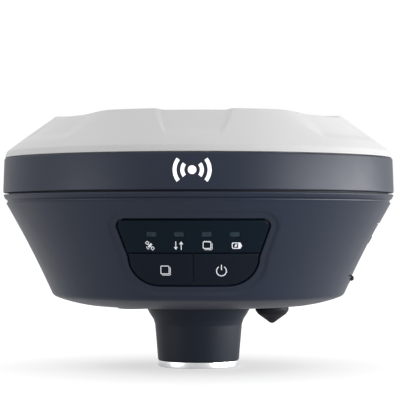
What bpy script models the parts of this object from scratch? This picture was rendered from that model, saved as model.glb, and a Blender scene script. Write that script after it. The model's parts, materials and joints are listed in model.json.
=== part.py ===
"""GNSS receiver for surveying: a round antenna housing on a neck that screws onto a survey pole.

Sizes are in millimetres. The origin is the centre of the neck's foot.
The keypad faces -Y and the battery door +X.
"""

from math import atan, cos, degrees, pi, radians, sin, sqrt

import bmesh
import bpy
from mathutils import Matrix, Vector

MM = 0.001
GAP = 0.3  # clearance between neighbouring pieces
WALL = 2.6  # lower housing
SEGMENTS = 64
SMALL_SEGMENTS = 12
SCREW_SEGMENTS = 8  # and the holes for screws
RADOME_COLUMNS = 10  # per channel

# Lower housing: a slightly flared cone between a groove under its lip and a rounded foot.
CONE_FOOT_Z = 34.3
CONE_FOOT_R = 70.65
CONE_SLOPE = 0.446
CONE_FLARE = 0.00145
CONE_TOP_Z = 79.4
CONE_LOW_Z = 36.4
FOOT_ROUND = 4.0
LIP_TOP = 83.7

# The underside is flat in the middle and rises towards the foot like a dish.
FLOOR_Z = 29.8
DISH_R = 45.4
DISH_CURVE = 0.00774

# Band and radome
BAND_LOW = 84.5
BAND_HIGH = 101.1
BAND_R_LOW = 95.3
BAND_R_HIGH = 94.7
RIM_R = 70.2
CHANNEL_COUNT = 6

# Neck and pole thread, 5/8 in with 11 threads per inch
RING_R = 19.7
RING_Z = 3.1
THREAD_PITCH = 25.4 / 11
THREAD_MINOR_R = 6.85
THREAD_MAJOR_R = 8.0
THREAD_LENGTH = 14.0
BARREL_R = 11.2
BARREL_TOP = 38.5

# Keypad, as seen from the front
KEYPAD_TOP = 70.6
KEYPAD_LOW = 41.7
KEYPAD_SPLIT = 56.05
KEYPAD_HALF_TOP = 34.05
KEYPAD_HALF_LOW = 29.15
KEYPAD_BEND_Z = 54.0
KEYPAD_HALF_FOOT = 15.3
KEYPAD_CORNER = 2.7
GROOVE = 0.9
KEY_GAP = 0.5
KEY_X = 12.6
KEY_TRAVEL_Z = 48.4
LAMP_X = (-18.6, -6.2, 6.2, 18.6)
LAMP_Z = 64.5
FRONT = -pi / 2
FRONT_Z = 57.0

# Battery door, as seen from the right
DOOR_HALF = 22.5
DOOR_LOW = 44.6
DOOR_HIGH = 69.4
DOOR_CORNER = 3.0
HINGE_X = 74.05
HINGE_Z = 43.4
HINGE_R = 1.4
KNUCKLE_HALF = 7.0
EAR_END = 11.6
BAY_HALF = 18.5
BAY_LOW = 47.2
BAY_HIGH = 66.8
BAY_BACK = 0.0

ANTENNA_PORT = (36.0, 0.0)
SERIAL_PORT = (-32.0, 18.0)
VENT = (24.0, 34.0)
FLOOR_HOLES = [("vent", VENT, 2.8), ("radio", ANTENNA_PORT, 5.0), ("data", SERIAL_PORT, 7.4)]
SCREW_PLACES = [(x, y) for x in (-48.5, 48.5) for y in (-28.0, 28.0)]
SCREW_SEAT = 33.6
BOSS_TOP = 37.0
NECK_SCREW_R = 20.6
DECK_SCREW_R = 82.0
BOARD_HOLES = [(x, y) for x in (-38.0, 38.0) for y in (-45.0, 45.0)]


# ---------------------------------------------------------------- scene, materials and shapes


def clear_scene():
    for obj in list(bpy.data.objects):
        bpy.data.objects.remove(obj)


def new_collection(name, hidden=False):
    made = bpy.data.collections.new(name)
    made.hide_render = hidden
    bpy.context.scene.collection.children.link(made)
    return made


def new_material(name, colour, roughness, metallic=0.0):
    made = bpy.data.materials.new(name)
    made.use_nodes = True
    shader = made.node_tree.nodes["Principled BSDF"]
    shader.inputs["Base Color"].default_value = (*colour, 1.0)
    shader.inputs["Roughness"].default_value = roughness
    shader.inputs["Metallic"].default_value = metallic
    made.diffuse_color = (*colour, 1.0)
    return made


def add_object(name, mesh, material):
    """Material None makes a helper that only cuts or joins other pieces."""
    obj = bpy.data.objects.new(name, mesh)
    if material is None:
        obj.hide_render = True
        obj.display_type = "WIRE"
        HELPERS.objects.link(obj)
    else:
        mesh.materials.append(material)
        PIECES.objects.link(obj)
    return obj


def lathe(name, profile, material, at=(0.0, 0.0), segments=SEGMENTS, closed=False):
    """Turns (radius, height) points round the vertical axis at the given place."""
    count = len(profile)
    mesh = bpy.data.meshes.new(name)
    edges = [(i, i + 1) for i in range(count - 1)]
    if closed:
        edges.append((count - 1, 0))
    mesh.from_pydata([(r * MM, 0.0, z * MM) for r, z in profile], edges, [])
    obj = add_object(name, mesh, material)
    obj.location = (at[0] * MM, at[1] * MM, 0.0)
    turn = obj.modifiers.new("Turn", "SCREW")
    turn.steps = segments
    turn.render_steps = segments
    turn.use_merge_vertices = True
    turn.merge_threshold = 0.00001
    turn.use_smooth_shade = segments > 6
    return obj


def add_shape(name, shape, material):
    mesh = bpy.data.meshes.new(name)
    shape.to_mesh(mesh)
    shape.free()
    return add_object(name, mesh, material)


def rod(name, radius, start, end, material, segments=SMALL_SEGMENTS):
    """A cylinder between two points."""
    start, end = Vector(start) * MM, Vector(end) * MM
    shape = bmesh.new()
    width, depth = radius * MM, (end - start).length
    bmesh.ops.create_cone(shape, cap_ends=True, segments=segments, radius1=width, radius2=width, depth=depth)
    turned = (end - start).to_track_quat("Z", "Y").to_matrix().to_4x4()
    bmesh.ops.transform(shape, matrix=Matrix.Translation((start + end) / 2) @ turned, verts=shape.verts)
    return add_shape(name, shape, material)


def box(name, low, high, material, frame=Matrix.Identity(4), bevel=0.0):
    low, high = Vector(low), Vector(high)
    place = frame @ Matrix.Translation((low + high) / 2) @ Matrix.Diagonal((*(high - low), 1.0))
    shape = bmesh.new()
    bmesh.ops.create_cube(shape, size=1.0, matrix=Matrix.Diagonal((MM, MM, MM, 1.0)) @ place)
    obj = add_shape(name, shape, material)
    if bevel:
        rounding = obj.modifiers.new("Edges", "BEVEL")
        rounding.width = bevel * MM
        rounding.segments = 2
    return obj


def prism(name, outline, azimuth, start=40.0, end=105.0):
    """A helper: an outline of (across, height) points extruded away from the axis, towards the azimuth."""
    outward = Vector((cos(azimuth), sin(azimuth), 0.0))
    across = Vector((-sin(azimuth), cos(azimuth), 0.0))
    shape = bmesh.new()
    places = [outward * start + across * a + Vector((0.0, 0.0, z)) for a, z in outline]
    corners = [shape.verts.new(place * MM) for place in places]
    grown = bmesh.ops.extrude_face_region(shape, geom=[shape.faces.new(corners)])
    moved = [part for part in grown["geom"] if isinstance(part, bmesh.types.BMVert)]
    bmesh.ops.translate(shape, verts=moved, vec=outward * (end - start) * MM)
    bmesh.ops.recalc_face_normals(shape, faces=shape.faces)
    return add_shape(name, shape, None)


def combine(obj, other, operation):
    step = obj.modifiers.new(other.name[:40], "BOOLEAN")
    step.object = other
    step.operation = operation
    step.solver = "EXACT"


def cut(obj, *cutters):
    for cutter in cutters:
        combine(obj, cutter, "DIFFERENCE")


def join(obj, *others):
    for other in others:
        combine(obj, other, "UNION")


def keep(obj, region):
    combine(obj, region, "INTERSECT")


def pivot(name, place, child):
    """An empty on the joint's axis that carries the piece."""
    empty = bpy.data.objects.new(name, None)
    empty.location = Vector(place) * MM
    PIECES.objects.link(empty)
    child.parent = empty
    child.matrix_parent_inverse = Matrix.Translation(-empty.location)


def spaced(start, end, count):
    return [start + (end - start) * i / (count - 1) for i in range(count)]


def arc(centre, radius, start, end, count):
    """Points on a circle, with the angles in degrees."""
    angles = [radians(a) for a in spaced(start, end, count)]
    return [(centre[0] + radius * cos(a), centre[1] + radius * sin(a)) for a in angles]


# ---------------------------------------------------------------- the cone that most pieces follow


def cone_angle(z):
    return atan(CONE_SLOPE + 2 * CONE_FLARE * (z - CONE_FOOT_Z))


def cone_radius(z):
    rise = z - CONE_FOOT_Z
    return CONE_FOOT_R + CONE_SLOPE * rise + CONE_FLARE * rise**2


def cone_point(z, depth=0.0):
    """(radius, height) of the cone's surface, moved inwards along its normal."""
    angle = cone_angle(z)
    return cone_radius(z) - depth * cos(angle), z + depth * sin(angle)


def slope_frame(azimuth, z):
    """Local axes on the cone's surface: across, up the slope, outwards."""
    tilt = cone_angle(z)
    radial = Vector((cos(azimuth), sin(azimuth), 0.0))
    across = Vector((-sin(azimuth), cos(azimuth), 0.0))
    up = radial * sin(tilt) + Vector((0.0, 0.0, cos(tilt)))
    out = radial * cos(tilt) - Vector((0.0, 0.0, sin(tilt)))
    frame = Matrix((across, up, out)).transposed().to_4x4()
    frame.translation = radial * cone_radius(z) + Vector((0.0, 0.0, z))
    return frame


def skin(name, outer_depth, inner_depth, material, low=36.0, high=78.0):
    """A ring between two depths under the cone's surface."""
    outer = [cone_point(z, outer_depth) for z in spaced(high, low, 4)]
    inner = [cone_point(z, inner_depth) for z in spaced(low, high, 4)]
    return lathe(name, outer + inner, material, closed=True)


def core(name, depth):
    """Everything that lies deeper than this under the cone's surface."""
    side = [cone_point(z, depth) for z in spaced(78.0, 36.0, 4)]
    profile = [(0.0, side[0][1]), *side, (0.0, side[-1][1])]
    return lathe(name, profile, None)


def sag(across, z):
    """How far the round surface falls back from the slope frame's plane."""
    radius = cone_radius(z)
    return (radius - sqrt(radius**2 - across**2)) * cos(cone_angle(z))


# ---------------------------------------------------------------- housing shells


def channel_at(index, radius):
    """(floor's half angle, top's half angle, depth) of a channel: every second one is wide and deep."""
    out = max(0.0, radius - RIM_R)
    if index % 2:
        return 9.5 + 0.4 * out, max(26.0 - 0.4 * out, 12.0 + 0.4 * out), 1.7
    return 12.0 - 0.28 * out, 15.0 - 0.38 * out, 0.8


def channel_fade(radius):
    """Channels start on the crown and run out on the shoulder."""
    return min(1.0, max(0.0, (radius - 26.0) / 18.0)) * min(1.0, max(0.0, (88.0 - radius) / 6.0))


def radome_ring(radius, z):
    """One ring of the radome's skin, sunk where it crosses a channel."""
    points = []
    for index in range(CHANNEL_COUNT):
        floor, top, depth = channel_at(index, radius)
        drop = depth * channel_fade(radius)
        half = [(0.0, drop), (floor * 0.5, drop), (floor, drop), (top, 0.0), ((top + 30.0) / 2, 0.0)]
        edges = [(-30.0, 0.0)] + [(-a, d) for a, d in half[:0:-1]] + half
        for offset, sunk in edges:
            turn = FRONT + radians(index * 360.0 / CHANNEL_COUNT + offset)
            points.append((radius * cos(turn), radius * sin(turn), z - sunk))
    return points


def plain_ring(radius, z, count=RADOME_COLUMNS * CHANNEL_COUNT, start=FRONT - pi / 6):
    turns = [start + 2 * pi * i / count for i in range(count)]
    return [(radius * cos(t), radius * sin(t), z) for t in turns]


def loft(name, top, rings, bottom, material):
    """Joins rings of equal length from one end point to the other, in the order down the outside."""
    count = len(rings[0])
    points = [(0.0, 0.0, top)] + [p for ring in rings for p in ring] + [(0.0, 0.0, bottom)]
    last = len(points) - 1
    faces = []
    for i in range(count):
        j = (i + 1) % count
        faces.append((0, 1 + i, 1 + j))
        faces.append((last, last - count + j, last - count + i))
        for k in range(len(rings) - 1):
            a, b = 1 + k * count, 1 + (k + 1) * count
            faces.append((a + i, b + i, b + j, a + j))
    mesh = bpy.data.meshes.new(name)
    mesh.from_pydata([Vector(point) * MM for point in points], [], faces)
    mesh.shade_smooth()
    mesh.set_sharp_from_angle(angle=radians(25.0))
    return add_object(name, mesh, material)


def make_radome():
    crown = [(26.0, 122.5), (44.0, 122.35), (69.4, 122.05), (72.0, 120.5)]
    shoulder = [(78.0, 115.8), (82.0, 112.9), (88.0, 108.6), (91.6, 105.9)]
    outside = [radome_ring(r, z) for r, z in crown + shoulder]
    skirt = [(93.6, 104.2), (94.3, 103.2), (94.5, 101.4), (93.4, 101.4), (93.4, 102.1), (91.0, 102.1)]
    inside = [(91.0, 97.5), (89.2, 97.5), (89.2, 104.4), (84.5, 107.8), (69.5, 117.6)]
    turned = [plain_ring(r, z) for r, z in skirt + inside]
    return loft("radome", 122.5, outside + turned, 119.0, LIGHT_PLASTIC)


def make_band():
    outside = [(94.0, BAND_HIGH), (BAND_R_HIGH, 100.4), (BAND_R_LOW, 85.2), (94.7, BAND_LOW)]
    inside = [(91.4, BAND_LOW), (91.4, 86.0), (80.0, 86.0), (80.0, 88.0), (91.4, 88.0), (91.4, BAND_HIGH)]
    band = lathe("housing_band", outside + inside, DARK_PLASTIC, closed=True)
    cut(band, *deck_holes("band_hole", 1.6))
    return band


def make_seals():
    for name, inner, outer, low, high in (
        ("radome_seal", 91.6, 93.0, 101.4, 101.8),
        ("housing_seal", 91.0, 92.6, 83.6, 84.2),
    ):
        profile = [(outer, high), (outer, low), (inner, low), (inner, high)]
        lathe(name, profile, RUBBER, closed=True, segments=SEGMENTS // 2)


def foot_arc(radius, count):
    """The rounding between the cone and the dish."""
    tilt = cone_angle(CONE_LOW_Z)
    centre = (cone_radius(CONE_LOW_Z) - FOOT_ROUND * cos(tilt), CONE_LOW_Z + FOOT_ROUND * sin(tilt))
    return arc(centre, radius, -degrees(tilt), -70.0, count)


def dish_point(radius, depth=0.0):
    """(radius, height) of the underside, moved inwards along its normal."""
    out = max(0.0, radius - DISH_R)
    tilt = atan(2 * DISH_CURVE * out)
    return radius - depth * sin(tilt), FLOOR_Z + DISH_CURVE * out**2 + depth * cos(tilt)


def make_lower_housing():
    lip = [(93.4, LIP_TOP), (94.9, LIP_TOP), (95.1, 83.3), (94.3, 81.7), (93.2, 80.9), (93.2, 80.4)]
    side = [cone_point(z) for z in spaced(CONE_TOP_Z, CONE_LOW_Z + 3.0, 4)]
    dish = [dish_point(r) for r in (67.0, 60.0, 53.0, DISH_R)]
    outside = lip + side + foot_arc(FOOT_ROUND, 4) + dish
    floor = [(17.3, FLOOR_Z), (17.3, FLOOR_Z + WALL)]
    inner_dish = [dish_point(r, WALL) for r in (DISH_R, 56.0, 66.0)]
    inner_side = [cone_point(z, WALL) for z in spaced(CONE_LOW_Z + 1.0, CONE_TOP_Z - 1.0, 4)]
    seat = [(90.4, 83.3), (93.4, 83.3)]
    profile = outside + floor + inner_dish + inner_side + seat
    housing = lathe("lower_housing", profile, DARK_PLASTIC, closed=True)

    ears = [
        rod(f"ear_{side}", HINGE_R, (HINGE_X, side * 7.4, HINGE_Z), (HINGE_X, side * EAR_END, HINGE_Z), None)
        for side in (-1, 1)
    ]
    for index, (x, y) in enumerate(SCREW_PLACES):
        join(housing, rod(f"boss_{index}", 5.2, (x, y, 32.4), (x, y, BOSS_TOP), None))
    cut(housing, prism("keypad_window", keypad_outline(GROOVE), FRONT))
    cut(housing, recess("keypad_recess", keypad_outline(4.2), FRONT, 0.7))
    cut(housing, prism("door_window", door_outline(0.4), 0.0))
    cut(housing, rod("knuckle_relief", 1.9, (HINGE_X, -7.4, HINGE_Z), (HINGE_X, 7.4, HINGE_Z), None))
    join(housing, *ears)
    cut(housing, hinge_rod("housing_pin_hole", 1.0, EAR_END - 0.2, None))
    for index, (x, y) in enumerate(SCREW_PLACES):
        cut(housing, rod(f"head_hole_{index}", 3.4, (x, y, 25.0), (x, y, SCREW_SEAT + 0.4), None))
        cut(housing, rod(f"screw_hole_{index}", 1.9, (x, y, 32.0), (x, y, 40.0), None, SCREW_SEGMENTS))
    for index, (x, y) in enumerate(neck_screw_places()):
        cut(housing, rod(f"neck_hole_{index}", 1.7, (x, y, 20.0), (x, y, 40.0), None, SCREW_SEGMENTS))
    for name, (x, y), radius in FLOOR_HOLES:
        cut(housing, rod(f"{name}_hole", radius, (x, y, 20.0), (x, y, 40.0), None))
    return housing


def recess(name, outline, azimuth, depth):
    """Cutter that sinks the cone's surface by depth inside an outline."""
    region = skin(name, -8.0, depth, None)
    keep(region, prism(f"{name}_outline", outline, azimuth))
    return region


# ---------------------------------------------------------------- neck and pole thread


def neck_screw_places():
    turns = [radians(45.0 + 90.0 * i) for i in range(4)]
    return [(NECK_SCREW_R * cos(t), NECK_SCREW_R * sin(t)) for t in turns]


def make_neck():
    top = FLOOR_Z - GAP
    flare = [(26.0, top), (25.1, 28.0), (23.8, 25.7), (22.1, 23.1), (21.3, 20.6)]
    shaft = [(RING_R + 0.1, RING_Z + GAP), (BARREL_R + GAP, RING_Z + GAP)]
    spigot = [(BARREL_R + GAP, 34.2), (17.0, 34.2), (17.0, top)]
    neck = lathe("neck", flare + shaft + spigot, DARK_PLASTIC, closed=True, segments=40)
    for index, (x, y) in enumerate(neck_screw_places()):
        cut(neck, rod(f"neck_thread_{index}", 1.7, (x, y, 24.0), (x, y, 40.0), None, SCREW_SEGMENTS))
        cap_screw(f"neck_screw_{index + 1}", x, y, FLOOR_Z + WALL + GAP, 2.6, 1.4, -8.0, 1.9)


def thread_ring(z, count):
    """A ring of the pole thread: the groove winds up with the azimuth."""
    points = []
    for i in range(count):
        turn = 2 * pi * i / count
        phase = (z / THREAD_PITCH - i / count) % 1.0
        groove = 1.0 - abs(2.0 * phase - 1.0)
        radius = THREAD_MINOR_R + (THREAD_MAJOR_R - THREAD_MINOR_R) * groove
        points.append((radius * cos(turn), radius * sin(turn), z))
    return points


def make_pole_insert():
    count = 24
    outside = [(BARREL_R - 1.0, BARREL_TOP), (BARREL_R, BARREL_TOP - 1.0)]
    outside += [(BARREL_R, RING_Z), (RING_R, RING_Z)]
    foot = [(RING_R, 0.4), (RING_R - 0.4, 0.0), (9.0, 0.0), (THREAD_MAJOR_R + 0.1, 1.0)]
    turned = [plain_ring(r, z, count, 0.0) for r, z in outside + foot]
    rows = 3 * round(THREAD_LENGTH / THREAD_PITCH)
    thread = [thread_ring(z, count) for z in spaced(1.6, 1.6 + THREAD_LENGTH, rows + 1)]
    end = [plain_ring(r, z, count, 0.0) for r, z in ((8.4, 16.6), (8.4, 21.0))]
    loft("pole_insert", BARREL_TOP, turned + thread + end, 23.0, STEEL)
    low, high = 34.5, 38.0
    ring = [(15.5, high), (15.5, low), (BARREL_R + GAP, low), (BARREL_R + GAP, high)]
    nut = lathe("insert_nut", ring, None, closed=True, segments=24)
    hexagon = [(0.0, high + 1), (14.6, high + 1), (14.6, low - 1), (0.0, low - 1)]
    cut_nut(nut, "insert_nut_hexagon", hexagon, STEEL)


def cut_nut(ring, name, hexagon, material):
    """Turns a plain ring into a hexagon nut."""
    keep(ring, lathe(name, hexagon, None, at=(ring.location.x / MM, ring.location.y / MM), segments=6))
    ring.hide_render = False
    ring.display_type = "TEXTURED"
    ring.data.materials.append(material)
    HELPERS.objects.unlink(ring)
    PIECES.objects.link(ring)


def cap_screw(name, x, y, seat, head_r, shank_r, length, head_h):
    """A screw whose head rises from the seat; a negative length runs down and a positive one up."""
    way = 1.0 if length < 0 else -1.0
    top, end = seat + way * head_h, seat + length
    socket_r, socket_floor = head_r * 0.5, seat + way * head_h * 0.45
    profile = [(0.0, socket_floor), (socket_r, socket_floor), (socket_r, top), (head_r - 0.3, top)]
    profile += [(head_r, top - way * 0.3), (head_r, seat), (shank_r, seat), (shank_r, end), (0.0, end)]
    if way < 0:
        profile.reverse()
    return lathe(name, profile, STEEL, at=(x, y), segments=SCREW_SEGMENTS)


# ---------------------------------------------------------------- keypad


def keypad_side(z, grow):
    """Half width of the keypad's slanting side at this height."""
    share = (z - KEYPAD_BEND_Z) / (KEYPAD_TOP - KEYPAD_CORNER - KEYPAD_BEND_Z)
    return KEYPAD_HALF_LOW + (KEYPAD_HALF_TOP - KEYPAD_HALF_LOW) * share + grow


def upper_half(grow, low):
    """Right side of the keypad above a height, from the top down."""
    corner = KEYPAD_CORNER + grow
    centre = (KEYPAD_HALF_TOP - KEYPAD_CORNER, KEYPAD_TOP - KEYPAD_CORNER)
    return arc(centre, corner, 90.0, 0.0, 4) + [(keypad_side(low, grow), low)]


def lower_half(grow, high):
    """Right side of the keypad below a height: the corner is a quarter of an ellipse."""
    points = [(keypad_side(high, grow), high)]
    wide = KEYPAD_HALF_LOW - KEYPAD_HALF_FOOT + grow
    tall = KEYPAD_BEND_Z - KEYPAD_LOW + grow
    for turn in spaced(0.0, -90.0, 7):
        across = KEYPAD_HALF_FOOT + wide * cos(radians(turn))
        points.append((across, KEYPAD_BEND_Z + tall * sin(radians(turn))))
    return points


def mirrored(half):
    return half + [(-x, z) for x, z in reversed(half)]


def keypad_outline(grow):
    return mirrored(upper_half(grow, KEYPAD_SPLIT)[:-1] + lower_half(grow, KEYPAD_SPLIT)[1:])


def front_height(z):
    """Distance up the slope of the front frame, for a height."""
    return (z - FRONT_Z) / cos(cone_angle(FRONT_Z))


def make_keypad():
    frame = slope_frame(FRONT, FRONT_Z)
    lamp_v, key_v = front_height(LAMP_Z), front_height(KEY_TRAVEL_Z)

    panel = skin("indicator_panel", 0.5, 2.4, PANEL_PLASTIC)
    keep(panel, prism("panel_outline", mirrored(upper_half(0.0, KEYPAD_SPLIT + KEY_GAP / 2)), FRONT))
    carrier = skin("keypad_carrier", WALL + GAP, 4.7, BLACK_PLASTIC)
    keep(carrier, prism("carrier_outline", keypad_outline(3.4), FRONT))
    for index, (x, v) in enumerate(((-19.5, -10.5), (19.5, -10.5), (0.0, 11.5))):
        join(carrier, board_post(f"post_{index}", x, v, frame))

    pipe_core = core("pipe_core", 0.6)
    for index, x in enumerate(LAMP_X):
        low, high = Vector((x - 2.4, lamp_v - 1.2, -8.6)), Vector((x + 2.4, lamp_v + 1.2, 2.0))
        room = Vector((GAP, GAP, GAP))
        hole = box(f"lamp_hole_{index}", low - room, high + room, None, frame)
        cut(panel, hole)
        cut(carrier, hole)
        keep(box(f"light_pipe_{index + 1}", low, high, LENS, frame), pipe_core)

    for name, side in (("page_key", -1), ("power_key", 1)):
        half = lower_half(0.0, KEYPAD_SPLIT - KEY_GAP / 2)
        outline = [(KEY_GAP / 2, half[0][1]), *half, (KEY_GAP / 2, KEYPAD_LOW)]
        key = skin(name, 0.5, 2.1, KEY_RUBBER)
        keep(key, prism(f"{name}_outline", [(side * x, z) for x, z in outline], FRONT))
        x = side * KEY_X
        start, end = frame @ Vector((x, key_v, -2.4)), frame @ Vector((x, key_v, -6.9))
        join(key, rod(f"{name}_plunger", 1.7, start, end, None, SCREW_SEGMENTS))
        cut(carrier, rod(f"{name}_hole", 2.3, start + frame.col[2].xyz * 3, end - frame.col[2].xyz * 3, None))
        pivot(f"{name}_axis", frame @ Vector((x, key_v, 0.0)), key)
        make_switch(name.replace("key", "switch"), x, key_v, frame)

    box("keypad_board", (-22.0, -13.0, -11.2), (22.0, 13.5, -9.6), CIRCUIT, frame)


def board_post(name, x, v, frame):
    start, end = Vector((x, v, -3.6 - sag(x, FRONT_Z))), Vector((x, v, -9.3))
    return rod(name, 1.6, frame @ start, frame @ end, None, SCREW_SEGMENTS)


def make_switch(name, x, v, frame):
    body = box(name, (x - 3.0, v - 3.0, -9.3), (x + 3.0, v + 3.0, -8.3), STEEL, frame)
    start, end = frame @ Vector((x, v, -8.8)), frame @ Vector((x, v, -7.7))
    join(body, rod(f"{name}_dome", 1.8, start, end, None, SCREW_SEGMENTS))


# ---------------------------------------------------------------- battery door, bay and battery


def door_outline(grow):
    half, low, high, corner = DOOR_HALF + grow, DOOR_LOW - grow, DOOR_HIGH + grow, DOOR_CORNER + grow
    right = arc((half - corner, high - corner), corner, 90.0, 0.0, 4)
    right += arc((half - corner, low + corner), corner, 0.0, -90.0, 4)
    return mirrored(right)


def hinge_rod(name, radius, half, material):
    """A rod on the hinge's axis, as long on both sides of the middle."""
    ends = (HINGE_X, -half, HINGE_Z), (HINGE_X, half, HINGE_Z)
    return rod(name, radius, *ends, material, SCREW_SEGMENTS)


def make_door():
    frame = slope_frame(0.0, DOOR_HIGH)
    door = skin("battery_door", 0.3, 2.0, DARK_PLASTIC)
    keep(door, prism("door_outline", door_outline(0.0), 0.0))
    for side in (-1, 1):
        start, end = (HINGE_X, side * 7.1, HINGE_Z), (HINGE_X, side * (EAR_END + GAP), HINGE_Z)
        cut(door, rod(f"ear_relief_{side}", 1.8, start, end, None))
    join(door, box("knuckle_web", (73.8, -KNUCKLE_HALF, 43.0), (74.8, KNUCKLE_HALF, 46.0), None))
    ends = (HINGE_X, -KNUCKLE_HALF - 0.02, HINGE_Z), (HINGE_X, KNUCKLE_HALF + 0.02, HINGE_Z)
    join(door, rod("knuckle", HINGE_R, *ends, None))
    cut(door, hinge_rod("door_pin_hole", 1.0, EAR_END - 0.2, None))
    cut(door, box("latch_slot", (-5.2, -11.4, -5.0), (5.2, -4.0, 3.0), None, frame))
    pivot("battery_door_axis", (HINGE_X, 0.0, HINGE_Z), door)
    hinge_rod("hinge_pin", 0.7, EAR_END - 0.5, STEEL)

    latch = box("battery_latch", (-4.8, -11.0, -3.4), (4.8, -6.6, 0.0), KEY_RUBBER, frame)
    join(latch, box("latch_plate", (-6.0, -12.2, -4.1), (6.0, -0.5, -2.95), None, frame))
    pivot("battery_latch_axis", frame @ Vector((0.0, -8.8, 0.0)), latch)

    seal = skin("door_seal", 2.25, 2.65, RUBBER)
    keep(seal, prism("seal_outside", door_outline(-0.5), 0.0))
    cut(seal, prism("seal_inside", door_outline(-2.0), 0.0))


def make_battery():
    frame = slope_frame(0.0, DOOR_HIGH)
    wall = 1.4
    low = (BAY_BACK - wall, -BAY_HALF - wall, BAY_LOW - wall)
    high = (100.0, BAY_HALF + wall, BAY_HIGH + wall)
    tray = box("battery_tray", low, high, BLACK_PLASTIC)
    keep(tray, core("tray_core", 4.0))
    mouth = skin("tray_mouth", WALL + GAP, 5.0, None)
    keep(mouth, prism("mouth_outline", door_outline(2.8), 0.0))
    join(tray, mouth)
    for side in (-1, 1):
        low_y, high_y = sorted((side * 18.0, side * 15.6))
        foot, top = (28.0, low_y, FLOOR_Z + WALL + GAP), (40.0, high_y, BAY_LOW - 0.5)
        join(tray, box(f"leg_{side}", foot, top, None))
    cut(tray, box("bay", (BAY_BACK, -BAY_HALF, BAY_LOW), (110.0, BAY_HALF, BAY_HIGH), None))
    cut(tray, box("latch_notch", (-6.5, -14.0, -5.6), (6.5, 2.5, -2.6), None, frame))

    start = BAY_BACK + 3.2
    box(
        "battery_pack",
        (start, -BAY_HALF + 0.4, BAY_LOW + GAP),
        (start + 62.0, BAY_HALF - 0.4, BAY_HIGH - 0.4),
        BATTERY_PLASTIC,
        bevel=1.2,
    )
    contacts = box(
        "battery_contacts", (BAY_BACK + GAP, -12.0, 52.0), (BAY_BACK + 1.4, 12.0, 60.0), BLACK_PLASTIC
    )
    for index, y in enumerate((-8.0, -2.7, 2.7, 8.0)):
        low, high = (BAY_BACK + 1.0, y - 0.9, 54.0), (BAY_BACK + 2.8, y + 0.9, 58.0)
        join(contacts, box(f"blade_{index}", low, high, None))


# ---------------------------------------------------------------- underside


def make_port(name, place, flange_r, barrel_r, thread_r, tip):
    """A bulkhead socket: flange and barrel below the floor, thread and nut above it."""
    seat = FLOOR_Z - GAP
    outside = [(0.0, 38.5), (thread_r, 38.5), (thread_r, seat), (flange_r, seat), (flange_r, seat - 1.0)]
    bore_r = barrel_r - 1.4
    barrel = [(barrel_r, seat - 1.0), (barrel_r, tip), (bore_r, tip), (bore_r, 33.0), (0.0, 33.0)]
    lathe(name, outside + barrel, STEEL, at=place, segments=16)
    low, high = FLOOR_Z + WALL + GAP, 35.2
    outer = thread_r * 1.7
    ring = [(outer, high), (outer, low), (thread_r + GAP, low), (thread_r + GAP, high)]
    nut = lathe(f"{name}_nut", ring, None, at=place, closed=True, segments=24)
    hexagon = [(0.0, high + 1), (outer - 0.4, high + 1), (outer - 0.4, low - 1), (0.0, low - 1)]
    cut_nut(nut, f"{name}_nut_hexagon", hexagon, STEEL)


def make_underside():
    make_port("antenna_port", ANTENNA_PORT, 6.4, 4.0, 4.6, 25.6)
    top = FLOOR_Z - GAP
    outside = [(7.9, top), (8.15, 29.2), (8.15, 27.2), (7.4, 26.0)]
    outside += [(5.6, 24.5), (3.1, 22.8), (1.3, 21.4), (0.0, 20.9)]
    inside = [(0.0, 25.2), (4.4, 25.2), (4.4, 28.2), (6.8, 28.2), (6.8, top)]
    lathe("antenna_port_cap", outside + inside, RUBBER, at=ANTENNA_PORT, segments=20, closed=True)

    make_port("serial_port", SERIAL_PORT, 9.0, 7.0, 7.0, 28.4)
    plug = [(0.0, 32.6), (4.6, 32.6), (5.2, 32.0), (5.2, 28.1)]
    plug += [(9.0, 28.1), (9.0, 27.8), (8.4, 27.3), (0.0, 27.3)]
    lathe("serial_port_cap", plug, RUBBER, at=SERIAL_PORT, segments=24)

    vent = [(0.0, 34.0), (2.4, 34.0), (2.4, top), (4.2, top), (4.2, 29.1), (3.8, 28.8), (0.0, 28.8)]
    lathe("vent_plug", vent, RUBBER, at=VENT, segments=SMALL_SEGMENTS)
    box("label_plate", (-17.0, 30.0, top - 0.6), (17.0, 41.0, top), LABEL)
    for index, (x, y) in enumerate(SCREW_PLACES):
        cap_screw(f"housing_screw_{index + 1}", x, y, SCREW_SEAT, 3.0, 1.5, 10.0, 1.7)


# ---------------------------------------------------------------- antenna and electronics


def deck_screw_places():
    turns = [radians(45.0 + 90.0 * i) for i in range(4)]
    return [(DECK_SCREW_R * cos(t), DECK_SCREW_R * sin(t)) for t in turns]


def deck_holes(name, radius):
    return [
        rod(f"{name}_{index}", radius, (x, y, 80.0), (x, y, 95.0), None, SCREW_SEGMENTS)
        for index, (x, y) in enumerate(deck_screw_places())
    ]


def make_chassis():
    plate = [(84.0, 85.7), (84.0, 83.2), (14.0, 83.2), (14.0, 85.7)]
    chassis = lathe("chassis", plate, ALUMINIUM, closed=True, segments=32)
    for index, (x, y) in enumerate(SCREW_PLACES):
        join(chassis, rod(f"pillar_{index}", 4.0, (x, y, BOSS_TOP + GAP), (x, y, 84.5), None, SCREW_SEGMENTS))
        cut(chassis, rod(f"pillar_hole_{index}", 1.8, (x, y, 30.0), (x, y, 46.0), None, SCREW_SEGMENTS))
    for index, (x, y) in enumerate(BOARD_HOLES):
        join(chassis, rod(f"standoff_{index}", 3.0, (x, y, 78.0), (x, y, 84.5), None, SCREW_SEGMENTS))
        cut(chassis, rod(f"standoff_hole_{index}", 1.5, (x, y, 70.0), (x, y, 83.8), None, SCREW_SEGMENTS))
    cut(chassis, *deck_holes("chassis_hole", 1.6))


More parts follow.
